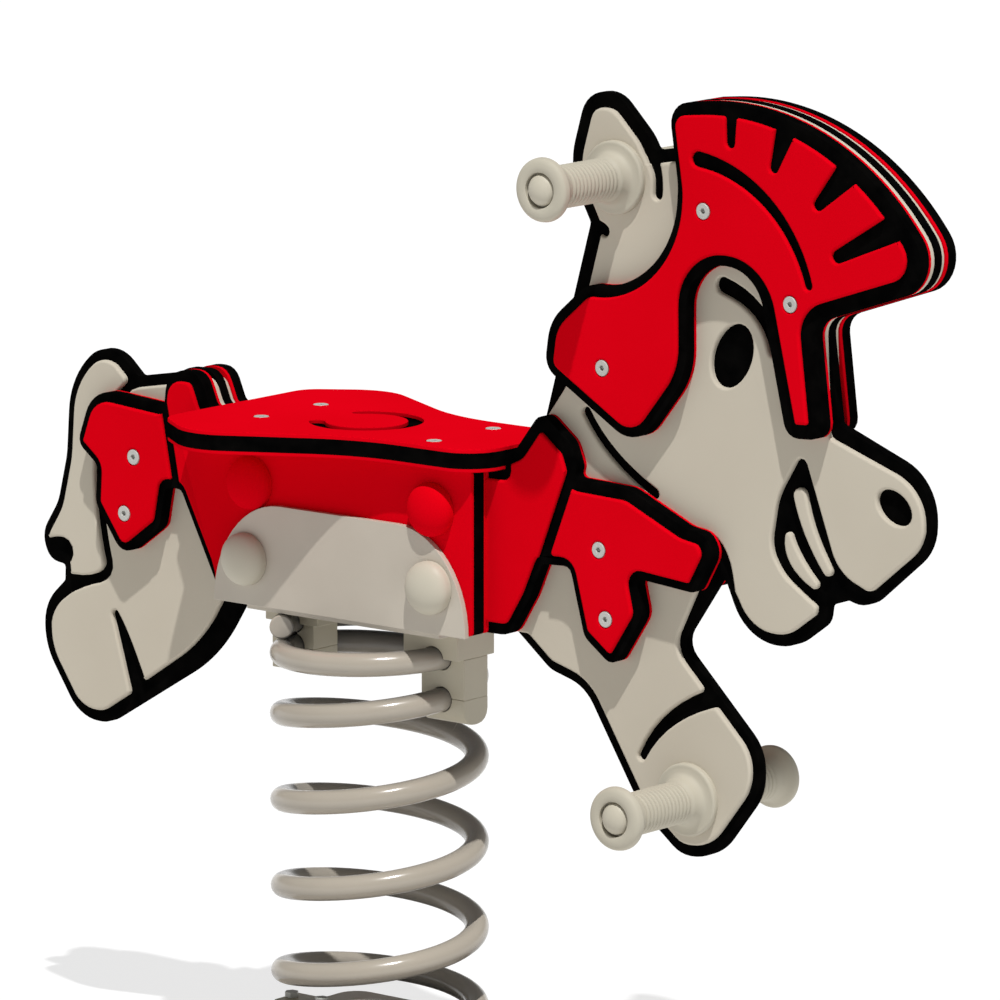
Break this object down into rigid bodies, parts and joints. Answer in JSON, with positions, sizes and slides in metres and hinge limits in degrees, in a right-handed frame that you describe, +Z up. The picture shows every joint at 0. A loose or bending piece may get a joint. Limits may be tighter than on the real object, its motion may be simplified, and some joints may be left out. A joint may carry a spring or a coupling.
{
  "type": "spring rider",
  "caption": "Playground spring rider: a flat-panel horse with a crested helmet, a seat board, hand grips and foot pegs on one coil spring and a bolt-down base plate.",
  "frame": {"origin": "middle of the base plate's underside, on the spring's axis", "axes": "+X forward, the way the horse looks, +Y to the horse's left, +Z up"},
  "size_m": [0.9391, 0.38, 0.8547],
  "materials": {
    "base_plate": "satin powder coat",
    "spring_steel": "semi-gloss powder coat",
    "bracket": "satin powder coat",
    "bolt_steel": "satin",
    "beige_sheet": "matte with black core",
    "red_sheet": "matte with black core",
    "grip": "fine grained",
    "red_cap": "satin",
    "beige_cap": "satin"
  },
  "bodies": {
    "base": {"base_plate": "base_plate", "base_blocks": "spring_steel", "base_jaws": "spring_steel", "base_bolts": "bolt_steel"},
    "spring": {"spring": "spring_steel"},
    "rider": {"spring_bracket": "bracket", "clamp_blocks": "spring_steel", "clamp_mid_jaws": "spring_steel", "clamp_end_jaws": "spring_steel", "clamp_bolts": "bolt_steel", "body_panel": "beige_sheet", "helmet_right": "red_sheet", "helmet_left": "red_sheet", "saddle_right": "red_sheet", "saddle_left": "red_sheet", "side_right": "red_sheet", "side_left": "red_sheet", "seat": "red_sheet", "hand_grip_right": "grip", "hand_grip_left": "grip", "hand_rod": "bolt_steel", "hand_caps": "beige_cap", "foot_peg_right": "grip", "foot_peg_left": "grip", "foot_rod": "bolt_steel", "foot_caps": "beige_cap", "frame_bolts": "bolt_steel", "red_caps": "red_cap", "beige_caps": "beige_cap", "helmet_bolts": "bolt_steel", "saddle_bolts": "bolt_steel", "seat_screws": "bolt_steel"}
  },
  "joints": [
    {"name": "sway", "type": "hinge", "parent": "base", "child": "spring", "pos_m": [0, 0, 0.2021], "axis": [1, 0, 0], "range_deg": [-15, 15], "stiffness_Nm_per_rad": 500, "deforming": ["spring"]},
    {"name": "rock", "type": "hinge", "parent": "spring", "child": "rider", "pos_m": [0, 0, 0.2021], "axis": [0, 1, 0], "range_deg": [-20, 20], "stiffness_Nm_per_rad": 500, "springref_deg": -2.11, "deforming": ["spring"]}
  ]
}
